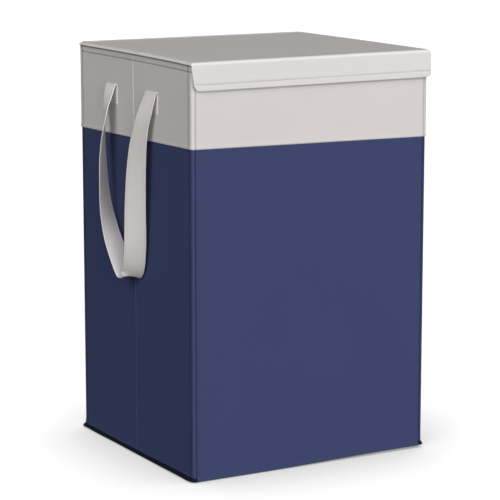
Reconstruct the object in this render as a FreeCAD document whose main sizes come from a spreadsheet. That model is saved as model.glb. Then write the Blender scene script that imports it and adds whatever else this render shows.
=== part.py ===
import FreeCAD, Part
import math
import os

import Sketcher

# A folding lidded storage bin: stiffened fabric walls on a fabric base, in millimetres.
# X runs along the front, the front faces -Y, Z is up, and the origin is the middle of
# the underside. Each wall is a stiff board between an outer fabric and a lining.

os.makedirs("parts", exist_ok=True)
doc = FreeCAD.newDocument("StorageBin")
Vec = FreeCAD.Vector

SIZES = {
    "bin_width": 388.0,  # outer face to outer face of the side walls
    "bin_depth": 360.0,  # outer face to outer face of the front and back walls
    "wall_foot": 6.2,  # underside of the walls, above the base board
    "wall_top": 595.5,
    "seam_height": 474.0,  # where the navy panel meets the grey band
    "skin": 1.0,  # outer fabric
    "board": 3.0,  # stiffener board
    "lining": 0.8,
    "corner_round": 2.6,  # outer fabric round the vertical corners
    "corner_gap": 0.3,  # side wall end to front or back wall
    "crease_gap": 0.2,  # each side half to the crease plane
    "board_inset": 6.0,  # front and back boards stop short of the soft corners
    "seam_gap": 0.2,
    "binding_foot": 1.6,
    "binding_out": 4.0,  # how far the bound bottom seam stands out
    "binding_in": 4.0,
    "bottom_thick": 1.2,
    "base_foot": 1.5,
    "base_width": 374.0,
    "base_front": -170.5,
    "base_rear": 170.5,
    "base_board": 3.0,
    "base_skin": 0.5,
    "base_round": 4.0,
    "lid_foot": 595.8,
    "lid_width": 398.0,
    "lid_front": -184.6,
    "lid_rear": 178.0,
    "lid_board": 2.8,
    "lid_skin": 0.7,
    "lid_round": 6.0,
    "hinge_strip_width": 380.0,
    "hinge_strip_foot": 572.0,
    "hinge_strip_head": 597.0,
    "hinge_strip_thick": 1.0,
    "flap_width": 395.0,
    "flap_foot": 561.0,
    "flap_head": 599.0,
    "flap_thick": 1.6,
    "flap_gap": 0.6,  # lid front edge to the back of the flap
    "flap_round": 6.0,
    "strap_width": 32.0,
    "strap_thick": 1.6,
    "strap_end_centre": 65.0,  # sewn end, from the crease
    "strap_end_foot": 515.0,
    "strap_end_head": 549.0,
}

sheet = doc.addObject("Spreadsheet::Sheet", "Sizes")
for row, (name, value) in enumerate(SIZES.items(), start=1):
    sheet.set(f"A{row}", name)
    sheet.set(f"B{row}", str(value))
    sheet.setAlias(f"B{row}", name)
doc.recompute()


def size(name):
    return float(sheet.get(name))


def expand(text):
    """Write sheet names in an expression as Sizes.name."""
    words = []
    for word in text.replace("(", " ( ").replace(")", " ) ").split():
        words.append("Sizes." + word if word in SIZES else word)
    return " ".join(words)


def bind(obj, prop, text):
    obj.setExpression(prop, expand(text))


def place(obj, x, y, z, turn=0.0):
    obj.Placement = FreeCAD.Placement(Vec(), FreeCAD.Rotation(Vec(0, 0, 1), turn))
    for axis, text in zip("xyz", (x, y, z), strict=True):
        bind(obj, "Placement.Base." + axis, text)


def origin_plane(body, role):
    return next(f for f in body.Origin.OriginFeatures if f.Role == role)


def rectangle(body, name, left, right, near, far):
    """A rectangle on the body's XY plane, each side held by a sheet expression."""
    sketch = body.newObject("Sketcher::SketchObject", name)
    sketch.AttachmentSupport = [(origin_plane(body, "XY_Plane"), "")]
    sketch.MapMode = "FlatFace"
    corners = [Vec(-9, 1, 0), Vec(9, 1, 0), Vec(9, 5, 0), Vec(-9, 5, 0)]
    for start, end in zip(corners, corners[1:] + corners[:1], strict=True):
        sketch.addGeometry(Part.LineSegment(start, end), False)
    for line in range(4):
        sketch.addConstraint(Sketcher.Constraint("Coincident", line, 2, (line + 1) % 4, 1))
    for line, way in enumerate(("Horizontal", "Vertical", "Horizontal", "Vertical")):
        sketch.addConstraint(Sketcher.Constraint(way, line))
    held = (
        ("left_side", "DistanceX", 0, 1, -9.0, f"-1 * ( {left} )"),
        ("right_side", "DistanceX", 1, 1, 9.0, right),
        ("near_side", "DistanceY", 0, 1, 1.0, near),
        ("far_side", "DistanceY", 2, 1, 5.0, far),
    )
    for label, kind, line, point, value, text in held:
        index = sketch.addConstraint(Sketcher.Constraint(kind, -1, 1, line, point, value))
        sketch.renameConstraint(index, label)
        bind(sketch, f"Constraints.{label}", text)
    return sketch


def edges_along(shape, direction, keep):
    """Names of the straight edges along a direction whose middle passes a test."""
    names = []
    for index, edge in enumerate(shape.Edges, start=1):
        if edge.Curve.TypeId != "Part::GeomLine":
            continue
        if abs(edge.Curve.Direction.dot(direction)) < 0.999:
            continue
        if keep(edge.CenterOfMass):
            names.append(f"Edge{index}")
    return names


def fillet(body, base, name, radius, direction, keep):
    rounded = body.newObject("PartDesign::Fillet", name)
    rounded.Base = (base, edges_along(base.Shape, direction, keep))
    rounded.Radius = 1.0
    bind(rounded, "Radius", radius)
    doc.recompute()
    return rounded


def plate(label, left, right, near, far, height):
    """A body with one padded rectangle, left and right of X = 0 and from near to far in Y."""
    body = doc.addObject("PartDesign::Body", label)
    body.Label = label
    pad = body.newObject("PartDesign::Pad", label + "_pad")
    pad.Profile = rectangle(body, label + "_plan", left, right, near, far)
    bind(pad, "Length", height)
    doc.recompute()
    return body, pad


def hollow(body, name, left, right, near, far, depth=None):
    """A pocket up through the plate, or to a depth above its underside."""
    cut = body.newObject("PartDesign::Pocket", name)
    cut.Profile = rectangle(body, name + "_plan", left, right, near, far)
    cut.Reversed = True
    if depth is None:
        cut.Type = "ThroughAll"
    else:
        bind(cut, "Length", depth)
    doc.recompute()
    return cut


HALF_WIDTH = "bin_width / 2"
HALF_DEPTH = "bin_depth / 2"
WALLS = {
    "front": (0.0, "{along}", f"-1 * {HALF_DEPTH}"),
    "back": (180.0, "-1 * ( {along} )", HALF_DEPTH),
    "left": (-90.0, f"-1 * {HALF_WIDTH}", "-1 * ( {along} )"),
    "right": (90.0, HALF_WIDTH, "{along}"),
}


def on_wall(obj, side, foot):
    """Stand a body against a wall's outer face, its own +Y pointing into the bin."""
    turn, x, y = WALLS[side]
    place(obj, x.format(along="0"), y.format(along="0"), foot, turn)


NAVY_TALL = "seam_height - seam_gap - wall_foot"
GREY_TALL = "wall_top - seam_height"
WALL_TALL = "wall_top - wall_foot"
LINING_FACE = "skin + board"
INNER_FACE = "skin + board + lining"


def end_wall(side):
    """The front or back wall, whose fabric turns the corners and covers the wall's ends."""
    inner = f"{HALF_WIDTH} - skin"
    for name, foot, tall in (
        ("navy_panel", "wall_foot", NAVY_TALL),
        ("grey_band", "seam_height", GREY_TALL),
    ):
        label = f"{side}_{name}"
        body, pad = plate(label, HALF_WIDTH, HALF_WIDTH, "0", INNER_FACE, tall)
        up = Vec(0, 0, 1)
        fillet(body, pad, label + "_round", "corner_round", up, lambda c: c.y < 0.01)
        cut = hollow(body, label + "_hollow", inner, inner, "skin", f"{INNER_FACE} + 2")
        near_skin = size("skin") + 0.01
        limit = size("bin_width") / 2 - size("skin") - 0.01
        fillet(
            body,
            cut,
            label + "_inner_round",
            "corner_round - skin",
            up,
            lambda c, n=near_skin, m=limit: 0.5 < c.y < n and abs(c.x) > m,
        )
        on_wall(body, side, foot)
    board_half = f"{HALF_WIDTH} - board_inset"
    body, _ = plate(f"{side}_board", board_half, board_half, "skin", LINING_FACE, WALL_TALL)
    on_wall(body, side, "wall_foot")
    body, _ = plate(f"{side}_lining", inner, inner, LINING_FACE, INNER_FACE, WALL_TALL)
    on_wall(body, side, "wall_foot")
    flange = f"{HALF_WIDTH} + binding_out"
    binding_tall = "wall_foot - binding_foot"
    body, _ = plate(
        f"{side}_bottom_binding", flange, flange, "-1 * binding_out", "binding_in", binding_tall
    )
    on_wall(body, side, "binding_foot")


def side_half(side, end, sign):
    """Half of a side wall, from the centre crease to the front or back wall."""
    crease = "crease_gap"
    corner = f"{HALF_DEPTH} - ( {INNER_FACE} ) - corner_gap"
    layers = (
        ("navy_panel", "0", "skin", "wall_foot", NAVY_TALL),
        ("grey_band", "0", "skin", "seam_height", GREY_TALL),
        ("board", "skin", LINING_FACE, "wall_foot", WALL_TALL),
        ("lining", LINING_FACE, INNER_FACE, "wall_foot", WALL_TALL),
        (
            "bottom_binding",
            "-1 * binding_out",
            "binding_in",
            "binding_foot",
            "wall_foot - binding_foot",
        ),
    )
    for name, near, far, foot, tall in layers:
        reach = (f"-1 * {crease}", corner) if sign > 0 else (corner, f"-1 * {crease}")
        body, _ = plate(f"{side}_{end}_{name}", *reach, near, far, tall)
        on_wall(body, side, foot)
    near_edge = "strap_end_centre - strap_width / 2"
    far_edge = "strap_end_centre + strap_width / 2"
    if sign > 0:
        reach = (f"-1 * ( {near_edge} )", far_edge)
    else:
        reach = (far_edge, f"-1 * ( {near_edge} )")
    body, _ = plate(
        f"{side}_strap_{end}_end", *reach, "-1 * strap_thick", "0", "strap_end_head - strap_end_foot"
    )
    on_wall(body, side, "strap_end_foot")


end_wall("back")
end_wall("front")
side_half("left", "rear", -1)
side_half("left", "front", 1)
side_half("right", "rear", 1)
side_half("right", "front", -1)

# Hanging strap legs. Each station is the height and the inner edge's distance out from the
# wall face and from the crease, in mm, and how far the strap has turned, in degrees.
# The front leg carries the turn at the bottom of the loop, up to the crease.
FRONT_LEG = (
    (548.4, 3.6, 81.0, 2.0),
    (535.0, 6.5, 78.5, 6.0),
    (520.0, 9.0, 74.5, 10.0),
    (500.0, 11.5, 69.0, 15.0),
    (470.0, 13.0, 63.5, 26.0),
    (430.0, 12.5, 59.0, 38.0),
    (390.0, 10.5, 54.5, 50.0),
    (350.0, 8.0, 50.0, 60.0),
    (315.0, 6.2, 46.0, 64.0),
    (293.0, 5.2, 40.5, 64.0),
    (278.0, 4.4, 33.5, 64.0),
    (271.5, 4.0, 25.0, 65.0),
    (275.5, 4.0, 16.0, 72.0),
    (282.0, 4.3, 8.0, 81.0),
    (288.5, 4.6, 1.0, 90.0),
)
REAR_LEG = (
    (548.4, 3.6, 81.0, 2.0),
    (535.0, 6.5, 82.0, 6.0),
    (520.0, 9.0, 80.5, 12.0),
    (500.0, 11.5, 78.5, 22.0),
    (470.0, 13.0, 75.5, 34.0),
    (430.0, 12.5, 71.5, 46.0),
    (390.0, 10.5, 66.5, 54.0),
    (350.0, 8.0, 56.0, 61.0),
    (322.0, 6.4, 35.0, 71.0),
    (304.0, 5.3, 17.0, 81.0),
    (288.5, 4.6, 1.0, 90.0),
)
SPAN_STEPS = 4  # lofted sections from one station to the next


def smooth(stations):
    """Stations joined by a curve through all of them, SPAN_STEPS steps to a span."""
    ends = (stations[0], *stations, stations[-1])
    path = []
    for a, b, c, d in zip(ends, ends[1:], ends[2:], ends[3:], strict=False):
        for step in range(SPAN_STEPS):
            t = step / SPAN_STEPS
            path.append(
                tuple(
                    0.5
                    * (
                        2 * q
                        + (r - p) * t
                        + (2 * p - 5 * q + 4 * r - s) * t**2
                        + (3 * q - p - 3 * r + s) * t**3
                    )
                    for p, q, r, s in zip(a, b, c, d, strict=True)
                )
            )
    return [*path, stations[-1]]


def strap_leg(label, stations, side_sign, end_sign):
    """A twisted flat strap lofted through rectangles square to its run."""
    face = size("bin_width") / 2
    wide = size("strap_width")
    thick = size("strap_thick")
    inner = []
    outer = []
    for height, out, off, turn in smooth(stations):
        lean = Vec(math.sin(math.radians(turn)), -math.cos(math.radians(turn)), 0)
        edge = Vec(face + out, off, height)
        inner.append(edge)
        outer.append(edge + lean * wide)
    wires = []
    for index, (edge, tip) in enumerate(zip(inner, outer, strict=True)):
        before = max(index - 1, 0)
        after = min(index + 1, len(inner) - 1)
        run = inner[after] + outer[after] - inner[before] - outer[before]
        normal = (tip - edge).cross(run).normalize() * (thick / 2)
        ring = [edge + normal, tip + normal, tip - normal, edge - normal]
        flipped = [Vec(p.x * side_sign, p.y * end_sign, p.z) for p in ring]
        wires.append(Part.makePolygon(flipped + flipped[:1]))
    solid = Part.makeLoft(wires, True, True)
    if solid.Volume < 0:
        solid.reverse()
    leg = doc.addObject("Part::Feature", label)
    leg.Shape = solid
    leg.Placement = FreeCAD.Placement()
    leg.Label = label


for side, side_sign in (("left", -1), ("right", 1)):
    strap_leg(f"{side}_strap_front_leg", FRONT_LEG, side_sign, -1)
    strap_leg(f"{side}_strap_rear_leg", REAR_LEG, side_sign, 1)

UP = Vec(0, 0, 1)


def sheet_piece(label, half, front, rear, tall, radius, foot):
    """A flat piece lying level, its four upright corners rounded."""
    body, pad = plate(label, half, half, front, rear, tall)
    fillet(body, pad, label + "_round", radius, UP, lambda c: True)
    place(body, "0", "0", foot)


def tray_cover(label, half, front, rear, skin, depth, radius, foot):
    """A fabric cover over a board: a top with a rim, open underneath."""
    body, pad = plate(label, half, half, front, rear, f"{depth} + {skin}")
    inner = f"{half} - {skin}"
    cut = hollow(
        body, label + "_hollow", inner, inner, f"{front} + {skin}", f"{rear} - {skin}", depth
    )
    rim = cut.Shape.BoundBox.XMax
    inside = fillet(
        body,
        cut,
        label + "_inner_round",
        f"{radius} - {skin}",
        UP,
        lambda c: abs(c.x) < rim - 0.01,
    )
    fillet(body, inside, label + "_round", radius, UP, lambda c: abs(c.x) > rim - 0.01)
    place(body, "0", "0", foot)


# Base: the fabric bottom, and the loose board that lifts against the back wall.
body, _ = plate(
    "bottom_panel", HALF_WIDTH, HALF_WIDTH, f"-1 * {HALF_DEPTH}", HALF_DEPTH, "bottom_thick"
)
place(body, "0", "0", "0")

BASE = ("base_width / 2", "base_front", "base_rear")
BASE_INNER = ("base_width / 2 - base_skin", "base_front + base_skin", "base_rear - base_skin")
sheet_piece("base_board_underside", *BASE, "base_skin", "base_round", "base_foot")
ON_UNDERSIDE = "base_foot + base_skin"
sheet_piece("base_board", *BASE_INNER, "base_board", "base_round - base_skin", ON_UNDERSIDE)
tray_cover("base_board_cover", *BASE, "base_skin", "base_board", "base_round", ON_UNDERSIDE)

# Lid: a board in a fabric cover, with its own lining, hinge strip and front flap.
LID = ("lid_width / 2", "lid_front", "lid_rear")
LID_INNER = ("lid_width / 2 - lid_skin", "lid_front + lid_skin", "lid_rear - lid_skin")
LID_INNER_ROUND = "lid_round - lid_skin"
sheet_piece("lid_lining", *LID_INNER, "lid_skin", LID_INNER_ROUND, "lid_foot")
sheet_piece("lid_board", *LID_INNER, "lid_board", LID_INNER_ROUND, "lid_foot + lid_skin")
tray_cover("lid_cover", *LID, "lid_skin", "lid_board + lid_skin", "lid_round", "lid_foot")

strip_half = "hinge_strip_width / 2"
body, _ = plate(
    "lid_hinge_strip",
    strip_half,
    strip_half,
    "-1 * hinge_strip_thick",
    "0",
    "hinge_strip_head - hinge_strip_foot",
)
on_wall(body, "back", "hinge_strip_foot")

flap_half = "flap_width / 2"
body, pad = plate(
    "lid_front_flap",
    flap_half,
    flap_half,
    "lid_front - flap_gap - flap_thick",
    "lid_front - flap_gap",
    "flap_head - flap_foot",
)
fillet(body, pad, "lid_front_flap_round", "flap_round", Vec(0, 1, 0), lambda c: c.z < 0.01)
place(body, "0", "0", "flap_foot")

doc.recompute()

exported = []
for obj in doc.Objects:
    if "Invalid" in obj.State or "Error" in obj.State:
        raise RuntimeError(f"{obj.Label} did not compute: {obj.State}")
    is_leg = obj.TypeId == "Part::Feature" and obj.Label.endswith("_leg")
    if obj.TypeId != "PartDesign::Body" and not is_leg:
        continue
    shape = obj.Shape
    if shape.isNull() or not shape.isValid() or len(shape.Solids) != 1:
        raise RuntimeError(f"{obj.Label} is not one valid solid")
    shape.exportStep(f"parts/{obj.Label}.step")
    exported.append(obj.Label)
    box = shape.BoundBox
    print(
        f"{obj.Label:28s} x {box.XMin:8.2f} {box.XMax:8.2f}  y {box.YMin:8.2f} {box.YMax:8.2f}"
        f"  z {box.ZMin:7.2f} {box.ZMax:7.2f}  vol {shape.Volume:10.0f}"
    )
print(len(exported), "parts")
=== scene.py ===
"""Look of the fabric storage bin: cloth skins, straps, lid and stitching round the CAD frame."""

import math
from collections import namedtuple

import bmesh
import bpy
import numpy as np
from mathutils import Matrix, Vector


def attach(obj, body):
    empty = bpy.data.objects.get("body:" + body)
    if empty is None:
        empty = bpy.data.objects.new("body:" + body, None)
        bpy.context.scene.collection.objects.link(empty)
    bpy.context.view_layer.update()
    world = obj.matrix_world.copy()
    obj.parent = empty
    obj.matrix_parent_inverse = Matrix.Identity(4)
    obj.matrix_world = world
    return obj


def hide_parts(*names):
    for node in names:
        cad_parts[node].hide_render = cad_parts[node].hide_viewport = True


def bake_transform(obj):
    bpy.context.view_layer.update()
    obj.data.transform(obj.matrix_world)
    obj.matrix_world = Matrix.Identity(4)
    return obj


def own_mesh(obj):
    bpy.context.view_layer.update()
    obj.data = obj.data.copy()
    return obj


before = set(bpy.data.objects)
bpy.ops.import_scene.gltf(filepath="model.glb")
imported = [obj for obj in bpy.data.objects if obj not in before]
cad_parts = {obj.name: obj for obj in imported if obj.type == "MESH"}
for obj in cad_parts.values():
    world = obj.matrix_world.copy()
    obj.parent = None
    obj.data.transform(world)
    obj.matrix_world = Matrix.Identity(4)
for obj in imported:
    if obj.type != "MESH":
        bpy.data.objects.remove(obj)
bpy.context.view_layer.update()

MM = 0.001
HALF_W, HALF_D = 194.0, 180.0  # outer faces of the side walls, and of the front and back walls
WALL = 4.8  # outer fabric to lining
FRONT_STITCH = 189.0  # stitch line beside the corner, on the front and back walls
SIDE_STITCH = 170.5  # the same on the side walls
HEM = 586.0  # stitch line of the top hem
CREASE_REAR, CREASE_FRONT = 3.2, -3.4  # the soft valley between the side halves
BOARD_X, BOARD_Y = 187.0, 170.5  # the base board's edges, from the middle
FOOT_RISE = 3.0  # how far the front foot stands off the floor at the right
SUNK_LEFT, SUNK_RIGHT = 2.7, 0.9  # how far the top's front edge has sunk
FABRIC = 0.8  # thickness of the wall cloth
GROOVE = 0.85  # depth of the groove along an upright line of stitches
SHADE_FRONT, SHADE_SIDE = 0.95, 1.7  # width of the painted shade, a dark line in a groove, by wall
LID_SHADE = 592.8  # the wall cloth is painted dark above this, a painted shadow under the lid
OUTWARD = {"front": (0, -1), "back": (0, 1), "left": (-1, 0), "right": (1, 0)}


def lerp(a, b, t):
    return a + (b - a) * t


def smoothstep(t):
    t = min(1.0, max(0.0, t))
    return t * t * (3 - 2 * t)


def bell(distance, width):
    return math.exp(-((distance / width) ** 2))


def distances(line):
    """How far along a line of points each of them lies."""
    steps = np.linalg.norm(np.diff(np.asarray(line, float), axis=0), axis=1)
    return np.concatenate([[0], np.cumsum(steps)])


def seam(x, y):
    """Height of the seam between navy and grey, sewn a few millimetres off level."""
    across = (x / HALF_W + 1) / 2
    deep = (y / HALF_D + 1) / 2
    return lerp(lerp(477.4, 472.5, across), lerp(471.9, 471.6, across), deep)


def rise(x, y, z):
    """How far the foot of the front wall stands off the floor towards the right. The bottom stays
    flat where the base board lies."""
    beyond_board = smoothstep(max(abs(x) - BOARD_X, -y - BOARD_Y) / 5)
    forward = smoothstep((-y - 140) / 38)
    right = smoothstep((x + 80) / 230)
    return FOOT_RISE * right * forward * beyond_board * (1 - smoothstep(z / 60))


def fall(x, y, z=600.0):
    """How far the top has sunk towards its front edge, most at the left."""
    forward = min(1.0, max(0.0, (60 - y) / 244))
    sunk = lerp(SUNK_LEFT, SUNK_RIGHT, (x / HALF_W + 1) / 2)
    return sunk * forward**2 * smoothstep((z - 480) / 105)


def settled(x, y, z):
    """A point of the square, level bin, moved to where the used one has it."""
    return (x, y, z - fall(x, y, z) + rise(x, y, z))


# Materials


class Shader:
    """A node tree with short calls for what the fabrics need."""

    def __init__(self, name):
        self.material = bpy.data.materials.new(name)
        self.material.use_nodes = True
        self.tree = self.material.node_tree
        self.tree.nodes.clear()
        self.out = self.node("ShaderNodeOutputMaterial")
        self.bsdf = self.node("ShaderNodeBsdfPrincipled")
        self.link(self.bsdf.outputs["BSDF"], self.out.inputs["Surface"])

    def node(self, kind, **settings):
        made = self.tree.nodes.new(kind)
        for key, value in settings.items():
            setattr(made, key, value)
        return made

    def link(self, a, b):
        self.tree.links.new(a, b)

    def math(self, operation, a, b=0.0):
        made = self.node("ShaderNodeMath", operation=operation)
        for socket, value in zip(made.inputs, (a, b)):
            if isinstance(value, (int, float)):
                socket.default_value = value
            else:
                self.link(value, socket)
        return made.outputs[0]

    def noise(self, vector, scale, detail, rough=0.55):
        made = self.node("ShaderNodeTexNoise")
        made.inputs["Scale"].default_value = scale
        made.inputs["Detail"].default_value = detail
        made.inputs["Roughness"].default_value = rough
        self.link(vector, made.inputs["Vector"])
        return made.outputs["Fac"]

    def ramp(self, factor, low, high):
        """Maps 0..1 to low..high."""
        made = self.node("ShaderNodeMapRange")
        made.inputs["To Min"].default_value = low
        made.inputs["To Max"].default_value = high
        self.link(factor, made.inputs["Value"])
        return made.outputs["Result"]

    def tint(self, colour, factor):
        """The colour multiplied by a grey factor."""
        made = self.node("ShaderNodeMix", data_type="RGBA", blend_type="MULTIPLY")
        made.inputs[0].default_value = 1.0
        made.inputs[6].default_value = (*colour, 1.0)
        self.link(factor, made.inputs[7])
        return made.outputs[2]


def cloth(name, colour, threads=2100.0, relief=0.06, mottle=0.05):
    """Plain-weave cloth: threads a metre, over-and-under relief in mm, and mottled colour."""
    s = Shader(name)
    uv = s.node("ShaderNodeUVMap", uv_map="weave").outputs["UV"]
    place = s.node("ShaderNodeTexCoord").outputs["Object"]
    split = s.node("ShaderNodeSeparateXYZ")
    s.link(uv, split.inputs[0])
    warp = s.math("MULTIPLY", split.outputs[0], threads)
    weft = s.math("MULTIPLY", split.outputs[1], threads)
    warp_high = s.math("ABSOLUTE", s.math("SINE", s.math("MULTIPLY", warp, math.pi)))
    weft_high = s.math("ABSOLUTE", s.math("SINE", s.math("MULTIPLY", weft, math.pi)))
    cell = s.math("ADD", s.math("FLOOR", warp), s.math("FLOOR", weft))
    over = s.math("FLOORED_MODULO", cell, 2.0)
    under = s.math("SUBTRACT", 1.0, over)
    height = s.math(
        "ADD", s.math("MULTIPLY", warp_high, over), s.math("MULTIPLY", weft_high, under)
    )
    slub = s.noise(uv, 900.0, 2.0)
    broad = s.noise(place, 9.0, 4.0)
    fine = s.noise(place, 160.0, 3.0)
    small = s.math(
        "ADD",
        s.ramp(fine, -mottle * 0.6, mottle * 0.6),
        s.ramp(slub, -mottle * 0.5, mottle * 0.5),
    )
    shade = s.math("ADD", s.ramp(broad, 1.0 - mottle, 1.0 + mottle), small)
    # painted shade: darker in the low points of the weave
    shade = s.math("ADD", shade, s.ramp(height, -0.05, 0.03))
    # painted shade and highlight from the mesh: darker in seams, stitch lines and under the lid,
    # paler where a highlight is painted
    painted_shading = s.node("ShaderNodeAttribute", attribute_name="painted_shading").outputs["Fac"]
    shade = s.math("MULTIPLY", shade, s.math("SUBTRACT", 1.0, s.math("MULTIPLY", painted_shading, 0.6)))
    s.link(s.tint(colour, shade), s.bsdf.inputs["Base Color"])
    s.link(s.ramp(fine, 0.84, 0.96), s.bsdf.inputs["Roughness"])
    s.bsdf.inputs["Specular IOR Level"].default_value = 0.04
    bump = s.node("ShaderNodeBump")
    bump.inputs["Strength"].default_value = 0.55
    bump.inputs["Distance"].default_value = relief * MM
    s.link(s.math("ADD", height, s.math("MULTIPLY", slub, 0.6)), bump.inputs["Height"])
    s.link(bump.outputs["Normal"], s.bsdf.inputs["Normal"])
    return s.material


def thread(name, colour):
    """Twisted sewing thread, slightly shiny."""
    s = Shader(name)
    place = s.node("ShaderNodeTexCoord").outputs["Object"]
    grain = s.noise(place, 1500.0, 2.0)
    s.link(s.tint(colour, s.ramp(grain, 0.82, 1.12)), s.bsdf.inputs["Base Color"])
    s.link(s.ramp(grain, 0.5, 0.7), s.bsdf.inputs["Roughness"])
    bump = s.node("ShaderNodeBump")
    bump.inputs["Strength"].default_value = 0.5
    bump.inputs["Distance"].default_value = 0.05 * MM
    s.link(grain, bump.inputs["Height"])
    s.link(bump.outputs["Normal"], s.bsdf.inputs["Normal"])
    return s.material


def cardboard(name, colour):
    """Grey-brown stiffener board with a fibrous face."""
    s = Shader(name)
    place = s.node("ShaderNodeTexCoord").outputs["Object"]
    fibre = s.noise(place, 700.0, 5.0, 0.7)
    patch = s.noise(place, 40.0, 3.0)
    shade = s.math("ADD", s.ramp(patch, 0.94, 1.06), s.ramp(fibre, -0.12, 0.12))
    s.link(s.tint(colour, shade), s.bsdf.inputs["Base Color"])
    s.link(s.ramp(fibre, 0.8, 0.95), s.bsdf.inputs["Roughness"])
    bump = s.node("ShaderNodeBump")
    bump.inputs["Strength"].default_value = 0.4
    bump.inputs["Distance"].default_value = 0.1 * MM
    s.link(fibre, bump.inputs["Height"])
    s.link(bump.outputs["Normal"], s.bsdf.inputs["Normal"])
    return s.material


GREY = (0.560, 0.532, 0.524)
NAVY = (0.0410, 0.0540, 0.1243)
navy_cloth = cloth("navy polyester cloth", NAVY)
grey_cloth = cloth("grey polyester cloth", GREY, mottle=0.035)
lid_cloth = cloth("lid cloth", (0.605, 0.580, 0.572), mottle=0.035)
strap_cloth = cloth("strap tape", (0.500, 0.473, 0.469), threads=1500.0, relief=0.09, mottle=0.03)
lining_cloth = cloth("lining cloth", (0.52, 0.51, 0.50), threads=1300.0, relief=0.05)
binding_cloth = cloth("dark binding tape", (0.010, 0.011, 0.020), threads=1500.0, relief=0.09)
base_cloth = cloth("dark base cloth", (0.016, 0.018, 0.034), threads=1600.0)
grey_thread = thread("grey thread", (0.36, 0.345, 0.34))
pale_thread = thread("pale thread", (0.50, 0.48, 0.47))
navy_thread = thread("navy thread", (0.035, 0.042, 0.10))
board_card = cardboard("stiffener card", (0.36, 0.29, 0.22))


# Mesh building: every point below is in millimetres


def add_mesh(name, points, faces, uvs, material, smooth=50.0, painted_shading=None):
    """The last argument is painted shade: how much darker the cloth is at each point, up to 1 in a
    seam or stitch line;
    below 0 it is paler, a painted highlight."""
    mesh = bpy.data.meshes.new(name)
    mesh.from_pydata((np.asarray(points, float) * MM).tolist(), [], faces)
    if painted_shading is not None:
        shading = mesh.attributes.new("painted_shading", "FLOAT", "POINT")
        shading.data.foreach_set("value", np.asarray(painted_shading, float))
    layer = mesh.uv_layers.new(name="weave")
    corner = np.zeros(len(mesh.loops), int)
    mesh.loops.foreach_get("vertex_index", corner)
    layer.data.foreach_set("uv", (np.asarray(uvs, float)[corner] * MM).ravel())
    mesh.materials.append(material)
    mesh.shade_smooth()
    mesh.set_sharp_from_angle(angle=math.radians(smooth))
    obj = bpy.data.objects.new(name, mesh)
    bpy.context.scene.collection.objects.link(obj)
    return obj


def lattice(grid, outward=None, tube=False):
    """Points and faces of a grid of rows and columns. outward is the way the first face has to
    look; a tube is closed from the last row to the first, and at both ends."""
    grid = np.asarray(grid, float)
    rows, cols = grid.shape[:2]
    points = grid.reshape(-1, 3)
    faces = []
    for r in range(rows if tube else rows - 1):
        below, above = r * cols, ((r + 1) % rows) * cols
        faces += [[below + c, below + c + 1, above + c + 1, above + c] for c in range(cols - 1)]
    if tube:
        faces.append([r * cols for r in range(rows)])
        faces.append([r * cols + cols - 1 for r in range(rows)][::-1])
    if outward is not None:
        quad = faces[0]
        normal = np.cross(points[quad[1]] - points[quad[0]], points[quad[3]] - points[quad[0]])
        if normal @ np.asarray(outward, float) < 0:
            faces = [face[::-1] for face in faces]
    return points, faces


def thicken(obj, thickness, bevel=0.0):
    """Gives an open sheet its thickness, behind the face that shows."""
    solid = obj.modifiers.new("thickness", "SOLIDIFY")
    solid.thickness = thickness * MM
    solid.offset = -1.0
    solid.use_even_offset = False
    if bevel:
        edge = obj.modifiers.new("soft edge", "BEVEL")
        edge.width = bevel * MM
        edge.segments = 2
        edge.limit_method = "ANGLE"
        edge.angle_limit = math.radians(50)
    return obj


# Plan stations: where a vertical strip of wall cloth stands, which way it looks, where its top
# folds in to, how far along the wall it is, how deep the stitch groove is there and how dark it is
# painted (painted shade), and how free it is to ripple, from 0 at a seam to 1

Station = namedtuple("Station", "x y nx ny inner_x inner_y along dip free dark")
NEAR = (0.0, 0.35, 0.7, 1.1, 1.6, 2.2, 3.0, 4.2, 6.0, 9.0)  # stations beside a stitched end


def groove(distance, depth=GROOVE):
    """Depth of the cloth beside a line of stitches, with a slight swell next to it."""
    return depth * bell(distance, 1.0) - 0.15 * bell(distance - 2.6, 1.2)


def wall_stations(wall, start, end, stitched, step=11.0):
    """Stations along a wall from start to end, close together beside its ends."""
    length = abs(end - start)
    near = [d for d in NEAR if d < length / 2]
    middle = np.linspace(near[-1], length - near[-1], max(3, round(length / step)))
    runs = sorted({*near, *(length - d for d in near), *middle.round(4)})
    nx, ny = OUTWARD[wall]
    made = []
    for run in runs:
        t = lerp(start, end, run / length)
        x, y = (t, ny * HALF_D) if nx == 0 else (nx * HALF_W, t)
        sewn = [d for d, on in zip((run, length - run), stitched) if on]
        dip = sum(groove(d) for d in sewn)
        # painted shade: a dark line in the groove beside each stitched end
        dark = sum(bell(d, SHADE_FRONT if nx == 0 else SHADE_SIDE) for d in sewn)
        free = smoothstep(min(run, length - run) / 35.0)
        made.append(Station(x, y, nx, ny, x - nx * WALL, y - ny * WALL, t, dip, free, dark))
    return made


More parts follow.
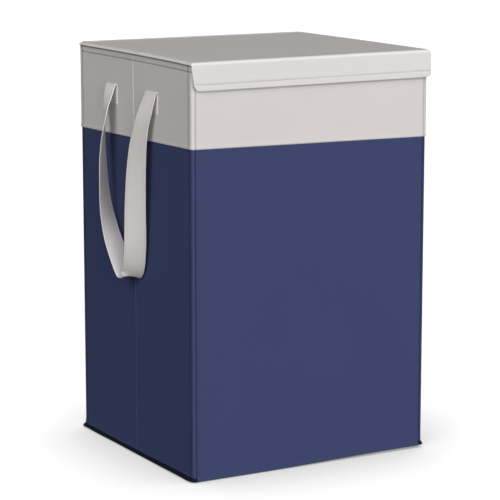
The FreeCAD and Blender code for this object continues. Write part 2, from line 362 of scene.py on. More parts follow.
def corner_stations(sx, sy):
    """Stations round a vertical corner, from the side wall's stitch line to the other."""
    radius, swell = 3.8, 0.45
    cx, cy = HALF_W - radius, HALF_D - radius
    steps = (0, 0.35, 0.7, 1.1, 1.6, 2.2, 3.2, 4.4)
    plan = [(HALF_W, SIDE_STITCH + step, 1.0, 0.0) for step in steps]
    for turn in np.radians(np.linspace(0, 90, 10)):
        nx, ny = math.cos(turn), math.sin(turn)
        plan.append((cx + radius * nx, cy + radius * ny, nx, ny))
    plan += [(x, HALF_D, 0.0, 1.0) for x in (189.8, 189.45, 189.2, FRONT_STITCH)]
    runs = distances([spot[:2] for spot in plan])
    made = []
    for (x, y, nx, ny), run in zip(plan, runs):
        rest = runs[-1] - run
        dip = groove(run) + groove(rest) - swell * smoothstep(run / 4) * smoothstep(rest / 3)
        # painted shade in the grooves at both stitch lines
        dark = bell(run, SHADE_SIDE) + bell(rest, SHADE_FRONT)
        ix, iy = lerp(HALF_W - WALL, x, 0.06), lerp(SIDE_STITCH - 0.3, y, 0.06)
        spot = (sx * x, sy * y, sx * nx, sy * ny, sx * ix, sy * iy)
        made.append(Station(*spot, run, dip, 0.0, dark))
    return made


VALLEY = (  # (place along the wall, depth, painted shade: darker above 0, a painted highlight below 0) across the crease, from the rear
    (CREASE_REAR, 0, 0),
    (2.2, 0, 0),
    (1.2, 0.02, 0),
    (0.6, 0.08, -0.1),
    (0.1, 0.2, -0.25),
    (-0.8, 0.47, -0.3),
    (-1.6, 0.71, -0.1),
    (-2.05, 0.82, 0.5),
    (-2.4, 0.8, 1),
    (-2.7, 0.62, 1),
    (-2.95, 0.3, 0.5),
    (-3.2, 0.06, 0.1),
    (CREASE_FRONT, 0.0, 0),
)


def crease_stations(sx):
    """Stations across the soft valley between the two halves of a side wall: a long slope that
    looks forward, then a short one."""
    inner = HALF_W - WALL
    return [
        Station(sx * HALF_W, y, sx, 0, sx * inner, y, y, dip, 0.0, dark) for y, dip, dark in VALLEY
    ]


def ripple(station, z):
    """Slight unevenness of cloth over a board, gone at its seams."""
    a = math.sin(station.along / 37 + z / 310 + 1.3) * math.sin(z / 61 + 0.4)
    b = math.sin(station.along / 83 - z / 47 + 2.1)
    return 0.2 * station.free * (a + 0.6 * b)


def skin_grid(stations, rows):
    """Rows are (height, stand-out, share of the way to the inner face); a height is a number or a
    function of the plan position."""
    grid, uvs, painted_shading = [], [], []
    for height, out, share in rows:
        line = []
        for st in stations:
            z = height(st.x, st.y) if callable(height) else height
            # painted shade along the stitch grooves and the hem's stitch line, and a painted shadow
            # under the lid
            dark = st.dark + bell(z - HEM, SHADE_FRONT) + 0.6 * smoothstep(z - LID_SHADE)
            painted_shading.append(min(1.0, dark * (1 - min(1.0, share * 3))))
            if share == 0:
                depth = out - max(st.dip, groove(abs(z - HEM), 0.7)) + ripple(st, z)
            else:
                depth = out - st.dip * (1 - share)
            x = lerp(st.x + st.nx * depth, st.inner_x, share)
            y = lerp(st.y + st.ny * depth, st.inner_y, share)
            line.append(settled(x, y, z))
            uvs.append((st.along, z - share * 6))
        grid.append(line)
    return grid, uvs, painted_shading


def spaced(low, high, step):
    count = max(2, round((high - low) / step) + 1)
    return list(np.linspace(low, high, count))


def above_seam(offset):
    return lambda x, y: seam(x, y) + offset


def up_to(share, top):
    """A height that is part of the way from the seam to top."""
    return lambda x, y: lerp(seam(x, y) + 9.0, top, share)


def above_foot(offset):
    """The navy cloth ends lower in front, where it covers the binding, than at the back."""
    return lambda x, y: lerp(1.4, 5.6, smoothstep((y + 180) / 200)) + offset


# Rows of the wall cloth from its foot to inside the hem, as skin_grid takes them
NAVY_ROWS = [(above_foot(0.0), 1.5, 0), (above_foot(1.0), 1.3, 0), (above_foot(2.6), 0.75, 0)]
NAVY_ROWS += [(above_foot(5.5), 0.3, 0), (16.0, 0.0, 0)]
NAVY_ROWS += [(z, 0.0, 0) for z in spaced(30.0, 462.0, 14.0)]
NAVY_ROWS += [(above_seam(-4.0), 0.0, 0), (above_seam(-1.6), -0.12, 0), (above_seam(0.0), -0.25, 0)]
NAVY_ROWS += [(above_seam(2.0), -0.25, 0)]
GREY_FOOT = ((-0.35, -0.1), (-0.6, 0.2), (-0.45, 0.5), (0.1, 0.75))
GREY_FOOT += ((0.9, 0.85), (2.0, 0.7), (3.6, 0.42), (6.0, 0.28))
AROUND_HEM = (-5.0, -2.8, -1.6, -1.0, -0.5, 0, 0.5, 1.0, 1.6, 2.8, 5.0)
GREY_ROWS = [(above_seam(dz), out, 0) for dz, out in GREY_FOOT]
GREY_ROWS += [(up_to(k, 576.0), 0.25, 0) for k in np.linspace(0, 1, 9)]
GREY_ROWS += [(HEM + dz, 0.25, 0) for dz in AROUND_HEM]
GREY_ROWS += [(591.5, 0.35, 0), (593.2, 0.32, 0), (594.2, 0.2, 0), (594.9, 0.02, 0.02)]
GREY_ROWS += [(595.3, 0.0, 0.12), (595.5, 0.0, 0.3), (595.5, 0.0, 0.6), (595.35, 0.0, 0.86)]
GREY_ROWS += [(594.9, 0.0, 0.98), (594.2, 0.0, 1.05), (590.0, 0.0, 1.07), (585.0, 0.0, 1.07)]
GREY_CORNER_ROWS = [row if row[2] <= 1 else (row[0], row[1], 1.0) for row in GREY_ROWS[:-1]]


def skin(name, stations, rows, material):
    grid, uvs, painted_shading = skin_grid(stations, rows)
    st = stations[0]
    points, faces = lattice(grid, outward=(st.nx, st.ny, 0))
    obj = add_mesh(name, points, faces, uvs, material, painted_shading=painted_shading)
    return thicken(obj, FABRIC)


def lining(name, wall, start, end):
    """The inner cloth of a wall, looking into the bin."""
    nx, ny = OUTWARD[wall]
    grid, uvs = [], []
    for z in [5.9, 8.0, *spaced(20.0, 580.0, 16.0), 589.0]:
        line = []
        for t in np.linspace(start, end, max(4, round(abs(end - start) / 12))):
            edge = min(abs(t - start), abs(t - end))
            lift = 0.25 * smoothstep(edge / 30) * math.sin(t / 29 + z / 70) * math.sin(z / 43 + 1)
            inset = WALL - 0.05 - min(0.0, lift)
            x, y = (t, ny * (HALF_D - inset)) if nx == 0 else (nx * (HALF_W - inset), t)
            line.append((x, y, z - fall(x, y, z)))
            uvs.append((t, z))
        grid.append(line)
    points, faces = lattice(grid, outward=(-nx, -ny, 0))
    obj = add_mesh(name, points, faces, uvs, lining_cloth)
    return thicken(obj, 0.7)


BINDING = (  # round the tape: (how far out, share of its reach added to that, height)
    (-3.4, 0, 5.7),
    (-0.8, 0, 6.6),
    (0.5, 0.1, 6.6),
    (0.7, 0.4, 5.2),
    (0.4, 0.75, 3.6),
    (0, 1, 2.5),
    (0, 1.02, 1.8),
    (0, 0.9, 1.3),
    (0, 0.5, 1.15),
    (-1.0, 0, 1.3),
    (-3.4, 0, 1.5),
)


def binding(name, stations, reach):
    """Tape round the seam at the foot of a wall: one closed section, swept. reach is how far it
    stands out at its first and last station."""
    grid, uvs = [], []
    last = len(stations) - 1
    for k, (fixed, share, z) in enumerate(BINDING):
        line = []
        for i, st in enumerate(stations):
            wave = 1 + 0.05 * math.sin(st.along / 17 + 0.7)
            stand = lerp(reach[0], reach[1], i / last)
            out = fixed + share * stand * wave - smoothstep(1.7 - stand)  # tucked under the cloth
            high = z + 0.15 * math.sin(st.along / 23) + rise(st.x, st.y, z)
            line.append((st.x + st.nx * out, st.y + st.ny * out, high))
            uvs.append((st.along, k * 2.0))
        grid.append(line)
    grid = np.asarray(grid)
    outward = grid[0, 0] - grid[:, 0].mean(axis=0)
    points, faces = lattice(grid, outward, tube=True)
    obj = add_mesh(name, points, faces, uvs, binding_cloth)
    return obj


# Stitches

STITCH = (  # along one stitch: (share of its length, height, thickness of the thread)
    (-0.5, -0.4, 0.1),
    (-0.36, 0.02, 0.24),
    (0.0, 0.16, 0.28),
    (0.36, 0.02, 0.24),
    (0.5, -0.4, 0.1),
)


def mesh_out(obj):
    """Turns every shell of a mesh to look outward."""
    work = bmesh.new()
    work.from_mesh(obj.data)
    bmesh.ops.recalc_face_normals(work, faces=work.faces)
    work.to_mesh(obj.data)
    work.free()


def stitches(name, runs, material, body, pitch=4.2, length=3.1):
    """Rows of single stitches. A run is a list of points and the outward direction at each."""
    points, faces = [], []
    sides = 6
    turns = np.linspace(0, 2 * math.pi, sides, endpoint=False)
    around = [(math.cos(turn), math.sin(turn)) for turn in turns]
    for path, normals in runs:
        path, normals = np.asarray(path, float), np.asarray(normals, float)
        run = distances(path)
        count = max(1, int((run[-1] - length) / pitch) + 1)
        centres = (run[-1] - (count - 1) * pitch) / 2 + np.arange(count) * pitch
        for centre in centres:
            spot, ahead, behind, up = (
                np.array([np.interp(t, run, values[:, k]) for k in range(3)])
                for t, values in (
                    (centre, path),
                    (centre + length / 2, path),
                    (centre - length / 2, path),
                    (centre, normals),
                )
            )
            along = (ahead - behind) / np.linalg.norm(ahead - behind)
            across = np.cross(along, up)
            across /= np.linalg.norm(across)
            up = np.cross(across, along)
            base = len(points)
            for share, lift, radius in STITCH:
                ring = spot + along * share * length + up * lift
                points += [ring + across * radius * c + up * radius * s for c, s in around]
            for k in range(len(STITCH) - 1):
                for j in range(sides):
                    a, b = base + k * sides + j, base + k * sides + (j + 1) % sides
                    faces.append([a, b, b + sides, a + sides])
            end = base + (len(STITCH) - 1) * sides
            faces.append([base + j for j in range(sides)][::-1])
            faces.append([end + j for j in range(sides)])
    obj = add_mesh(name, points, faces, np.zeros((len(points), 2)), material, 80.0)
    mesh_out(obj)
    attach(obj, body)
    return obj


def upright_run(st, low, high, sink):
    """A vertical row of stitches in the groove at a station."""
    heights = np.linspace(low, high, 12)
    path = [(st.x - st.nx * sink, st.y - st.ny * sink, z - fall(st.x, st.y, z)) for z in heights]
    return path, [(st.nx, st.ny, 0)] * len(path)


def level_run(stations, z, out):
    """A level row of stitches along a wall."""
    path = [(st.x + st.nx * out, st.y + st.ny * out, z - fall(st.x, st.y, z)) for st in stations]
    return path, [(st.nx, st.ny, 0) for st in stations]


# Walls

PANELS = {
    "back": ("back", "back_wall", -FRONT_STITCH, FRONT_STITCH),
    "front": ("front", "front_wall", -FRONT_STITCH, FRONT_STITCH),
}
for side in ("left", "right"):
    PANELS[f"{side}_rear"] = (side, f"{side}_rear_half", SIDE_STITCH, CREASE_REAR)
    PANELS[f"{side}_front"] = (side, f"{side}_front_half", -SIDE_STITCH, CREASE_FRONT)
REACH = {"back": 4.5, "front": 0.7, "left": 4.8, "right": 5.0}  # how far the binding stands out

for part, (wall, body, start, end) in PANELS.items():
    whole = wall in ("front", "back")
    stations = wall_stations(wall, start, end, (True, whole))
    navy = skin(f"{part}_navy_cloth", stations, NAVY_ROWS, navy_cloth)
    grey = skin(f"{part}_grey_cloth", stations, GREY_ROWS, grey_cloth)
    near, far, foot_end = start, end, end
    if not whole:  # the lining and the binding run on to the crease
        near, far, foot_end = (math.copysign(reach, start) for reach in (170.0, 0.5, 0.4))
    inside = lining(f"{part}_inner_lining", wall, near, far)
    foot = wall_stations(wall, start, foot_end, (False, False), 20.0)
    tape = binding(f"{part}_foot_binding", foot, (REACH[wall], REACH[wall]))
    stand_in = {"navy_panel": navy, "grey_band": grey, "lining": inside, "bottom_binding": tape}
    for node, piece in stand_in.items():
        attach(piece, body)
        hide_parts(f"{part}_{node}")
    if not whole:
        sx = OUTWARD[wall][0]
        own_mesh(tape)
    lines = [stations[0], stations[-1]] if whole else [max(stations, key=lambda st: abs(st.y))]
    navy_runs = [upright_run(st, 10, 469, 0.65) for st in lines]
    stitches(f"{part}_navy_stitches", navy_runs, navy_thread, body)
    grey_runs = [upright_run(st, 480, 583, 0.4) for st in lines]
    grey_runs.append(level_run(stations, HEM, -0.25))
    stitches(f"{part}_grey_stitches", grey_runs, grey_thread, body)


def corner_line(sx, sy):
    """Where a corner strip starts to turn and where it has turned, in metres."""
    return (
        (sx * HALF_W * MM, sy * SIDE_STITCH * MM, 0.3),
        (sx * FRONT_STITCH * MM, sy * HALF_D * MM, 0.3),
    )


CORNERS = {
    "left_rear_corner": (-1, 1, "left_rear_half", "back_wall"),
    "right_rear_corner": (1, 1, "right_rear_half", "back_wall"),
    "left_front_corner": (-1, -1, "left_front_half", "front_wall"),
    "right_front_corner": (1, -1, None, "front_wall"),
}
for name, (sx, sy, side_body, wall_body) in CORNERS.items():
    stations = corner_stations(sx, sy)
    side_reach = REACH["left" if sx < 0 else "right"]
    wall_reach = REACH["back" if sy > 0 else "front"]
    strips = [
        skin(f"{name}_navy", stations, NAVY_ROWS, navy_cloth),
        skin(f"{name}_grey", stations, GREY_CORNER_ROWS, grey_cloth),
        binding(f"{name}_binding", stations, (side_reach, wall_reach)),
    ]
    start, end = corner_line(sx, sy)
    for strip in strips:
        if side_body:
            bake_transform(strip)
        else:
            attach(strip, wall_body)

# A quarter sleeve inside the right front corner closes the gap that opens there as the bin folds
inner = HALF_W - WALL
SLEEVE = 4.3  # its radius
for label, rows, material, slot in (
    ("navy", (6.4, 240.0, 471.0), navy_cloth, "navy_fabric"),
    ("grey", (471.4, 530.0, 594.6), grey_cloth, "grey_fabric"),
):
    grid, uvs = [], []
    for z in rows:
        line = []
        for turn in np.radians(np.linspace(-92, 4, 13)):
            x, y = inner + SLEEVE * math.cos(turn), -(SIDE_STITCH - 0.3) + SLEEVE * math.sin(turn)
            line.append((x, y, z))
            uvs.append((SLEEVE * turn, z))
        grid.append(line)
    points, faces = lattice(grid, outward=(0, -1, 0))
    sheet = add_mesh(f"right_front_corner_sleeve_{label}", points, faces, uvs, material)
    sleeve = thicken(sheet, FABRIC)
    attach(sleeve, "right_front_half")

# Across each crease, as (place, height): the lining, and the hem's inner face and top above it
CREASE_LINING = [(inner, z) for z in (6.0, 200.0, 400.0, 586.0)]
CREASE_TOP = [(inner - 0.35, 585.0), (inner - 0.3, 594.2), (inner + 0.3, 595.1)]
CREASE_TOP += [(inner + 1.4, 595.45), (HALF_W - 1.6, 595.45), (HALF_W - 0.6, 595.1)]
CREASE_TOP += [(HALF_W - 0.3, 594.2)]
for side, sx in (("left", -1), ("right", 1)):
    stations = crease_stations(sx)
    strips = [
        skin(f"{side}_crease_navy", stations, NAVY_ROWS, navy_cloth),
        skin(f"{side}_crease_grey", stations, GREY_CORNER_ROWS[:-8], grey_cloth),
    ]
    ends = (CREASE_REAR, CREASE_FRONT)
    for strip in strips:
        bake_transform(strip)
    for label, section, material, slot in (
        ("lining", CREASE_LINING, lining_cloth, "lining_fabric"),
        ("top", CREASE_TOP, grey_cloth, "grey_fabric"),
    ):
        grid, uvs = [], []
        for at, z in section:
            line = []
            for y in np.linspace(3.6, -3.6, 17):
                line.append((sx * at, y, z - fall(sx * at, y, z)))
                uvs.append((y, z))
            grid.append(line)
        points, faces = lattice(grid, outward=(-sx, 0, 0))
        strip = thicken(add_mesh(f"{side}_crease_{label}", points, faces, uvs, material), 0.5)
        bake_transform(strip)


# Flat pieces with a rounded outline: bottom, base board, lid


def outline(left, right, front, rear, radii, inset=0.0):
    """A rounded rectangle, anticlockwise from above; radii are front left, front right, rear
    right, rear left."""
    corners = (
        (left, front, 1, 1, radii[0], 180),
        (right, front, -1, 1, radii[1], 270),
        (right, rear, -1, -1, radii[2], 0),
        (left, rear, 1, -1, radii[3], 90),
    )
    ring = []
    for x, y, dx, dy, radius, angle in corners:
        small = max(radius - inset, 0.3)
        reach = radius if radius - inset >= 0.3 else inset + 0.3
        cx, cy = x + dx * reach, y + dy * reach
        for turn in np.radians(np.linspace(angle, angle + 90, 7)):
            ring.append((cx + small * math.cos(turn), cy + small * math.sin(turn)))
    filled = []
    for k, a in enumerate(ring):
        filled.append(a)
        if k % 7 == 6:  # a straight side follows each corner's seven points
            b = ring[(k + 1) % len(ring)]
            count = max(1, int((right - left if k in (6, 20) else rear - front) / 16))
            for j in range(1, count):
                filled.append((lerp(a[0], b[0], j / count), lerp(a[1], b[1], j / count)))
    return filled


def slab(name, sides, radii, rim, top, foot, material, sag=lambda x, y: 0.0, rim_highlight=0.0):
    """A closed flat piece. rim is its edge from underneath to on top, as (inset, height), foot and
    top are the heights of its faces, sag lifts the top, and the last argument paints the upper part
    of the rim paler: a painted highlight."""
    left, right, front, rear = sides
    mid = ((left + right) / 2, (front + rear) / 2)
    rings = []
    low = outline(*sides, radii, rim[0][0])
    for share in (0.05, 0.5, 0.85):
        rings.append([(lerp(mid[0], x, share), lerp(mid[1], y, share), foot) for x, y in low])
    for inset, z in rim:
        rings.append([(x, y, z) for x, y in outline(*sides, radii, inset)])
    high = outline(*sides, radii, rim[-1][0])
    for share in (0.975, 0.93, 0.85, 0.72, 0.55, 0.36, 0.18, 0.04):
        ring = []
        for x, y in high:
            x, y = lerp(mid[0], x, share), lerp(mid[1], y, share)
            ring.append((x, y, top + sag(x, y)))
        rings.append(ring)
    size = len(low)
    points = np.array([settled(x, y, z) for ring in rings for x, y, z in ring])
    # rows of the rim's upper part, painted paler: a painted highlight
    highlit_rows = (3 + len(rim) // 3, len(rim) + 1)
    painted_light = np.zeros(len(points))
    painted_light[highlit_rows[0] * size : highlit_rows[1] * size] = -rim_highlight
    faces = []
    for r in range(len(rings) - 1):
        for c in range(size):
            d = (c + 1) % size
            faces.append([r * size + c, r * size + d, (r + 1) * size + d, (r + 1) * size + c])
    faces.append(list(range(size))[::-1])
    last = (len(rings) - 1) * size
    faces.append([last + c for c in range(size)])
    uvs = [(x, y + z) for x, y, z in points]
    return add_mesh(name, points, faces, uvs, material, 60.0, painted_light)


bottom = slab(
    "bottom_cloth",
    (-193.5, 193.5, -179.5, 179.5),
    (4, 4, 4, 4),
    ((2.5, 0.25), (0.8, 0.1), (0.0, 0.6), (0.5, 1.1), (2.0, 1.2)),
    1.2,
    0.2,
    base_cloth,
)
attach(bottom, "back_wall")
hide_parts("bottom_panel")
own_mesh(bottom)

base = slab(
    "base_board_sleeve",
    (-186.8, 186.8, -170.3, 170.3),
    (4, 4, 4, 4),
    ((2.2, 1.5), (0.9, 1.62), (0.2, 2.2), (0.0, 3.4), (0.2, 4.7), (0.8, 5.3), (2.0, 5.5)),
    5.5,
    1.5,
    lining_cloth,
    lambda x, y: 0.12 * math.sin(x / 41) * math.sin(y / 33 + 1),
)
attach(base, "base")
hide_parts("base_board_cover", "base_board_underside")

# The card in each wall stops below the hem's fold
CARDS = {
    "front": ("front_wall", (-188.0, 188.0, -179.0, -176.0)),
    "back": ("back_wall", (-188.0, 188.0, 176.0, 179.0)),
}
for side, low, high in (("left", -193.0, -190.0), ("right", 190.0, 193.0)):
    CARDS[f"{side}_rear"] = (f"{side}_rear_half", (low, high, 1.0, 174.9))
    CARDS[f"{side}_front"] = (f"{side}_front_half", (low, high, -174.9, -1.0))
for part, (body, sides) in CARDS.items():
    rim = ((0.5, 6.6), (0.1, 6.9), (0.0, 7.4), (0.0, 589.6), (0.1, 590.2), (0.5, 590.5))
    card = slab(f"{part}_stiffener_card", sides, (0.9,) * 4, rim, 590.5, 6.6, board_card)
    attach(card, body)
    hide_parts(f"{part}_board")


def lid_sag(x, y):
    """The lid's top: cloth over a board, very slightly hollow."""
    inside = smoothstep(min(199 - abs(x), y + 184, 178 - y) / 60)
    return inside * (-0.25 + 0.12 * math.sin(x / 43 + 0.6) * math.sin(y / 51 + 1.2))


lid_top = slab(
    "lid_cloth_cover",
    (-198.6, 199.2, -184.0, 178.2),
    (3.0, 8.0, 5.0, 5.0),
    (
        (5.0, 596.1),
        (2.0, 595.9),
        (0.7, 595.95),
        (0.1, 596.2),
        (0.0, 596.6),
        (0.4, 597.4),
        (1.2, 598.2),
        (2.4, 598.95),
        (4.0, 599.6),
        (5.8, 599.95),
        (7.8, 600.1),
    ),
    600.1,
    596.3,
    lid_cloth,
    lid_sag,
    # the rim's painted highlight
    0.25,
)
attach(lid_top, "lid")
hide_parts("lid_cover")

lid_inside = slab(
    "lid_inner_lining",
    (-194.0, 194.0, -180.0, 174.0),
    (4, 4, 4, 4),
    ((1.5, 595.75), (0.4, 595.85), (0.0, 596.1), (0.3, 596.4), (1.0, 596.5)),
    596.5,
    595.75,
    lining_cloth,
)
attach(lid_inside, "lid")
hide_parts("lid_lining")

lid_card = slab(
    "lid_stiffener_card",
    (-194.0, 194.0, -179.5, 173.5),
    (5, 5, 5, 5),
    ((1.4, 596.7), (0.3, 596.95), (0.0, 597.6), (0.3, 598.2), (1.4, 598.6)),
    598.6,
    596.7,
    board_card,
)
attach(lid_card, "lid")
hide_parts("lid_board")


# Lid flap: it leaves the lid's top, rolls over the front edge and hangs

FLAP_FOOT = 560.4
FLAP_HEM = 568.8  # its stitch line
FLAP_LEFT, FLAP_RIGHT = -197.6, 196.8  # its edges, where it starts to hang


def flap_sides(z):
    """Left and right edges of the hanging flap at a height, its lower corners rounded."""
    left = lerp(FLAP_LEFT, -193.6, smoothstep((597 - z) / 36))
    right = lerp(FLAP_RIGHT, 196.4, (597 - z) / 36)
    low = z - FLAP_FOOT
    curve = [r - math.sqrt(max(0.0, r * r - max(0.0, r - low) ** 2)) for r in (8.0, 6.5)]
    return left + curve[0], right - curve[1]


def flap_corner(x, z):
    """How much lower the flap's rounded upper corners lie."""
    lower = 0.0
    for inward, radius in ((x + 198.2, 3.0), (197.2 - x, 6.5)):
        near = min(1.0, max(0.0, 1 - inward / radius))
        lower += radius * (1 - math.sqrt(1 - near * near))
    return lower * smoothstep((z - 586) / 14)


# Down the flap, as (y, z, left edge, right edge)
roll = [(-176.0, 599.7, -198.0, 198.2), (-178.5, 600.02, -198.2, 197.9)]
roll += [(-181.0, 600.12, -198.2, 197.5)]
for turn in np.radians(np.linspace(0, 90, 9)):
    edge = math.sin(turn)
    y, z = -182.6 - 3.9 * edge, 596.3 + 3.82 * math.cos(turn)
    roll.append((y, z, lerp(-198.2, FLAP_LEFT, edge), lerp(197.3, FLAP_RIGHT, edge)))
hang = [594.0, 590.0, 585.0, 580.0, 575.0, 572.0, 570.4, 569.7, 569.3, FLAP_HEM, 568.3, 567.8]
hang += [567.0, 565.4, 563.8, 562.4, 561.4, 560.8, FLAP_FOOT]
for z in hang:
    left, right = flap_sides(z)
    bow = 0.5 * smoothstep((597 - z) / 30)
    hem = -groove(abs(z - FLAP_HEM), 0.45) + (0.3 if z < FLAP_HEM else 0.0)
    roll.append((-186.5 - bow - hem, z, left, right))
across = [0, 0.0015, 0.004, 0.008, 0.014, 0.022, 0.034, *np.linspace(0.05, 0.95, 32)]
across += [0.966, 0.978, 0.986, 0.992, 0.996, 0.9985, 1]
grid, uvs, painted_shading = [], [], []
runs = distances([row[:2] for row in roll])
for (y, z, left, right), run in zip(roll, runs):
    low = smoothstep((600 - z) / 30)
    line = []
    for share in across:
        x = lerp(left, right, share)
        wave = 0.35 * low * math.sin(x / 58 + 0.5) + 0.2 * low * math.sin(x / 21)
        ends = 0.9 * low * (smoothstep((x - 120) / 80) + 0.4 * smoothstep((-130 - x) / 60))
        line.append((x, y - wave * 0.6 - ends, z - fall(x, -184) - flap_corner(x, z)))
        uvs.append((x, run))
    # painted shade along the hem's stitch line, and a painted highlight on the roll over the front
    # edge
    painted_shading += [0.25 * bell(z - FLAP_HEM, 0.8) - 0.25 * bell(z - 598, 2.2)] * len(across)
    grid.append(line)
points, faces = lattice(grid, outward=(0, 0, 1))
sheet = add_mesh("lid_flap_cloth", points, faces, uvs, lid_cloth, painted_shading=painted_shading)
flap = thicken(sheet, 1.5, 0.45)
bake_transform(flap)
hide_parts("lid_front_flap")

hem_path = [(x, -186.9, FLAP_HEM - fall(x, -184)) for x in np.linspace(-186, 190, 30)]
stitches("flap_hem_stitches", [(hem_path, [(0, -1, 0)] * 30)], pale_thread, "lid_flap")

# Lid hinge: a strip sewn to the back wall, round the rear edge and onto the lid
strip_rows = [(180.9, 572.0), (181.3, 573.0), (181.3, 582.0), (181.3, 590.0), (181.35, 594.0)]
for turn in np.radians(np.linspace(0, 90, 10)):
    strip_rows.append((177.6 + 3.8 * math.cos(turn), 596.8 + 3.8 * math.sin(turn)))
strip_rows += [(174.0, 600.65), (170.5, 600.6), (170.0, 600.2)]
grid, uvs = [], []
for (y, z), run in zip(strip_rows, distances(strip_rows)):
    grid.append([(x, y, z) for x in np.linspace(-190, 190, 40)])
    uvs += [(x, run) for x in np.linspace(-190, 190, 40)]
points, faces = lattice(grid, outward=(0, 1, 0))
hinge = thicken(add_mesh("lid_hinge_cloth", points, faces, uvs, lid_cloth), 0.8, 0.25)
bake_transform(hinge)
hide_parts("lid_hinge_strip")

# Straps

STRAP_TOP = 545.6
STRAP_WIDTH, STRAP_THICK, STRAP_HEM = 32.0, 1.6, 3.0
SEWN_OUT = 1.15  # middle of the tape off the wall, where it is sewn on
# Down each hanging leg: (height, how far the edge next to the wall stands off it, how far that
# edge is from the wall's middle, degrees the tape is turned out from the wall)
FRONT_LEG = (
    (STRAP_TOP, 3.6, 79.5, 2.0),
    (535.0, 6.5, 79.2, 4.0),
    (520.0, 9.0, 76.2, 8.0),
    (505.0, 10.9, 71.8, 11.0),
    (490.0, 12.0, 68.6, 15.0),
    (470.0, 13.0, 66.1, 22.0),
    (450.0, 12.8, 63.9, 28.0),
    (430.0, 12.5, 61.8, 33.0),
    (400.0, 11.0, 58.2, 40.0),
    (370.0, 9.4, 54.8, 46.0),
    (340.0, 7.6, 51.9, 53.0),
    (320.0, 6.5, 49.2, 56.5),
    (300.0, 5.4, 44.2, 57.0),
    (288.0, 4.6, 39.2, 55.0),
    (280.0, 3.9, 33.6, 54.0),
    (275.6, 3.4, 28.6, 56.0),
    (274.2, 3.2, 23.5, 62.0),
    (275.2, 3.1, 15.0, 74.0),
    (278.2, 3.1, 7.5, 84.0),
    (281.8, 3.1, 1.0, 90.0),
)
REAR_LEG = (
    (STRAP_TOP, 3.6, 82.5, 2.0),
    (535.0, 6.5, 82.0, 3.5),
    (520.0, 9.0, 79.0, 11.0),
    (505.0, 10.9, 73.0, 21.5),
    (490.0, 12.0, 70.8, 28.0),
    (470.0, 13.0, 70.4, 34.0),
    (450.0, 12.8, 68.8, 40.0),
    (430.0, 12.5, 66.6, 45.0),
    (400.0, 11.0, 64.2, 50.0),
    (370.0, 9.4, 57.0, 58.5),
    (340.0, 7.2, 42.4, 70.5),
    (320.0, 5.8, 29.2, 79.5),
    (305.0, 4.6, 18.0, 85.0),
    (293.0, 3.7, 8.6, 88.0),
    (281.8, 3.1, -1.0, 90.0),
)


def spline(stations):
    """Stations joined by a smooth curve through all of them."""
    ends = np.array((stations[0], *stations, stations[-1]), float)
    path = []
    for a, b, c, d in zip(ends, ends[1:], ends[2:], ends[3:]):
        square, cube = 2 * a - 5 * b + 4 * c - d, 3 * b - a - 3 * c + d
        for t in np.arange(7) / 7:
            path.append(0.5 * (2 * b + (c - a) * t + square * t**2 + cube * t**3))
    path.append(ends[-1])
    return path


def ribbon_section():
    """Across the strap: (share of the width, height above its middle plane, face), anticlockwise.
    The edges are folded and sewn a little way in."""
    half, thick = STRAP_WIDTH / 2, STRAP_THICK / 2
    line = half - STRAP_HEM
    upper = [(half - 0.5, thick - 0.12), (half - 1.2, thick), (line + 0.9, thick)]
    upper += [(line + 0.35, thick - 0.12), (line, thick - 0.3), (line - 0.35, thick - 0.16)]
    upper += [(line - 1.0, thick - 0.06), (line - 3.0, thick - 0.02), (4.0, thick + 0.05)]
    upper += [(-w, h) for w, h in reversed(upper)]
    nose = [(half, 0.35), (half, -0.35)]
    lower = [(-w, -h) for w, h in upper]
    tail = [(-half, -0.35), (-half, 0.35)]
    return [*nose[::-1], *upper, *tail[::-1], *lower]


def ribbon(name, centres, widths, normals, painted_light=0.55):
    """A flat tape swept along its middle line, closed at both ends. Its top is painted paler by the
    last argument, a painted highlight, and it is painted 0.6 paler at the bottom of the loop,
    behind the front leg's fold: painted light."""
    grid, uvs = [], []
    run = distances(centres)
    for w, h in ribbon_section():
        grid.append([c + wide * w + up * h for c, wide, up in zip(centres, widths, normals)])
        uvs += [(w, r) for r in run]
    points, faces = lattice(grid, tube=True)
    painted_shading = []
    # painted light: paler towards the top and at the bottom of the loop
    for _, y, z in points:
        behind_fold = smoothstep((y + 22) / 12) * (z < 300)
        bottom_share = smoothstep((365 - z) / 50) if "rear" in name else behind_fold
        painted_shading.append(-painted_light * smoothstep((z - 470) / 60) - 0.6 * bottom_share)
    obj = add_mesh(name, points, faces, uvs, strap_cloth, 70.0, painted_shading)
    mesh_out(obj)
    return obj


def frames(centres, widths):
    """Unit width and face directions along a tape."""
    centres = np.asarray(centres, float)
    along = np.gradient(centres, axis=0)
    along /= np.linalg.norm(along, axis=1)[:, None]
    wide = np.asarray(widths, float)
    wide -= along * np.sum(wide * along, axis=1)[:, None]
    wide /= np.linalg.norm(wide, axis=1)[:, None]
    return centres, wide, np.cross(along, wide)


def edge_runs(centres, widths, normals, sign):
    """Two stitch rows along the tape's folded edges, on one face."""
    runs = []
    for across_tape in (-1, 1):
        line = centres + widths * across_tape * (STRAP_WIDTH / 2 - STRAP_HEM) + normals * sign * 0.6
        runs.append((line, normals * sign))
    return runs


